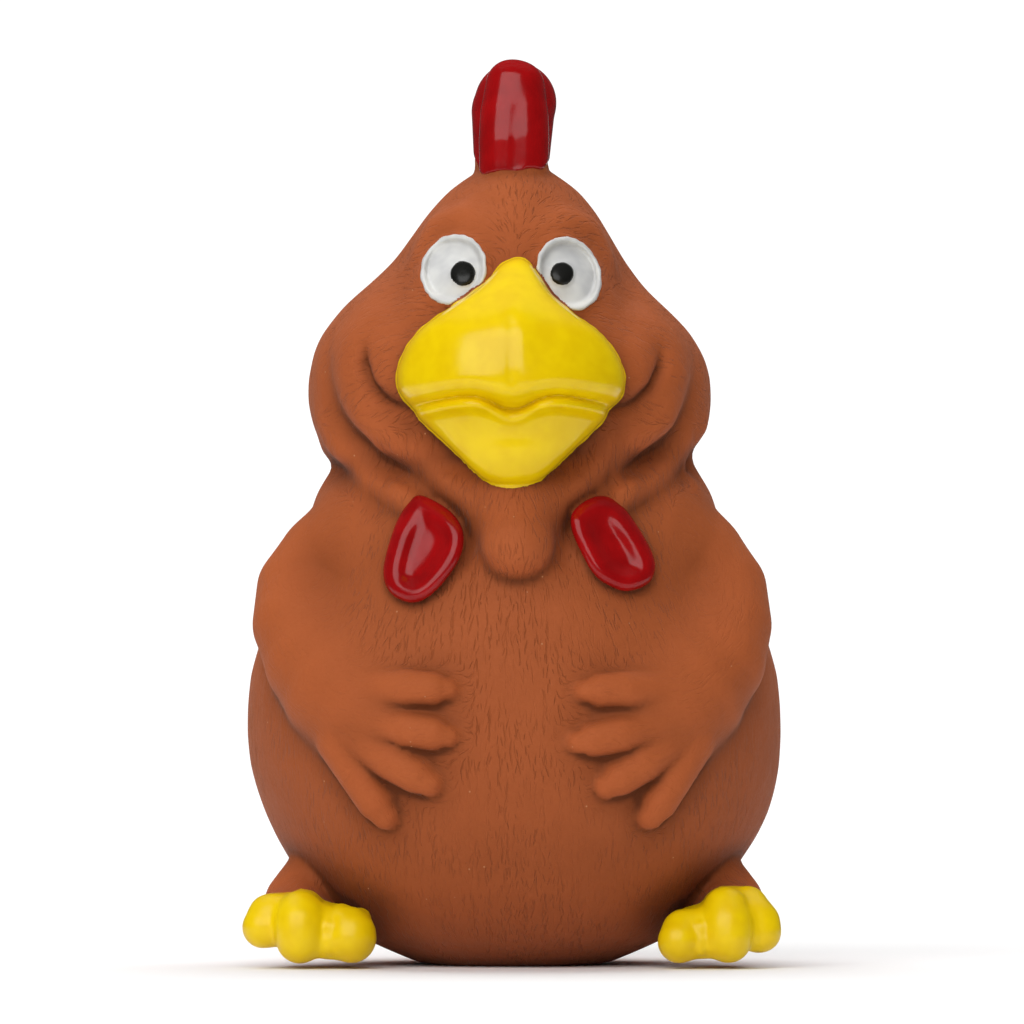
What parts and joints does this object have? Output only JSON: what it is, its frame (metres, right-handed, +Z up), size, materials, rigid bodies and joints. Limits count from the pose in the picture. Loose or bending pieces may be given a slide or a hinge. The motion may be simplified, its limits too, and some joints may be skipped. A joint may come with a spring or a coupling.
{
  "type": "rubber chicken",
  "caption": "Seated squeaky rubber chicken: hollow latex bird with comb, beak, wattles, folded wings and toes, over fibre stuffing and a reed squeaker.",
  "frame": {"origin": "bottom centre of the bounding box, on the surface that the bird sits on", "axes": "+Z up, the bird faces -Y, +X is the bird's own left side (the right of a viewer in front of it)"},
  "size_m": [0.0884, 0.092, 0.15],
  "materials": {
    "latex": "matt brown latex with engraved feather strokes",
    "red_paint": "gloss red paint on latex",
    "yellow_paint": "satin yellow paint on latex",
    "white_paint": "satin white paint on latex",
    "black_paint": "gloss black paint on latex",
    "fibre": "loose white polyester wadding",
    "squeaker_plastic": "natural moulded polyethylene",
    "reed_film": "thin translucent polyester film"
  },
  "bodies": {
    "base": {"lower_skin": "latex", "fibre_stuffing": "fibre", "left_toes": "yellow_paint", "right_toes": "yellow_paint", "squeaker_housing": "squeaker_plastic", "reed_holder": "squeaker_plastic", "reed_clip": "squeaker_plastic", "squeaker_cap": "squeaker_plastic"},
    "upper_body": {"upper_skin": "latex", "comb": "red_paint", "upper_beak": "yellow_paint", "lower_beak": "yellow_paint", "left_eye_white": "white_paint", "right_eye_white": "white_paint", "left_pupil": "black_paint", "right_pupil": "black_paint", "left_wattle": "red_paint", "right_wattle": "red_paint"},
    "reed_tongue": {"reed": "reed_film"}
  },
  "joints": [
    {"name": "squeeze", "type": "slide", "parent": "base", "child": "upper_body", "axis": [0, 0, -1], "range_m": [0, 0.02], "stiffness_N_per_m": 1000, "springref_m": -0.0006, "deforming": ["lower_skin", "fibre_stuffing"]},
    {"name": "reed_flutter", "type": "hinge", "parent": "base", "child": "reed_tongue", "pos_m": [0, -0.0002, 0.0116], "axis": [1, 0, 0], "range_deg": [-1.5, 1.5], "stiffness_Nm_per_rad": 0.0001}
  ]
}
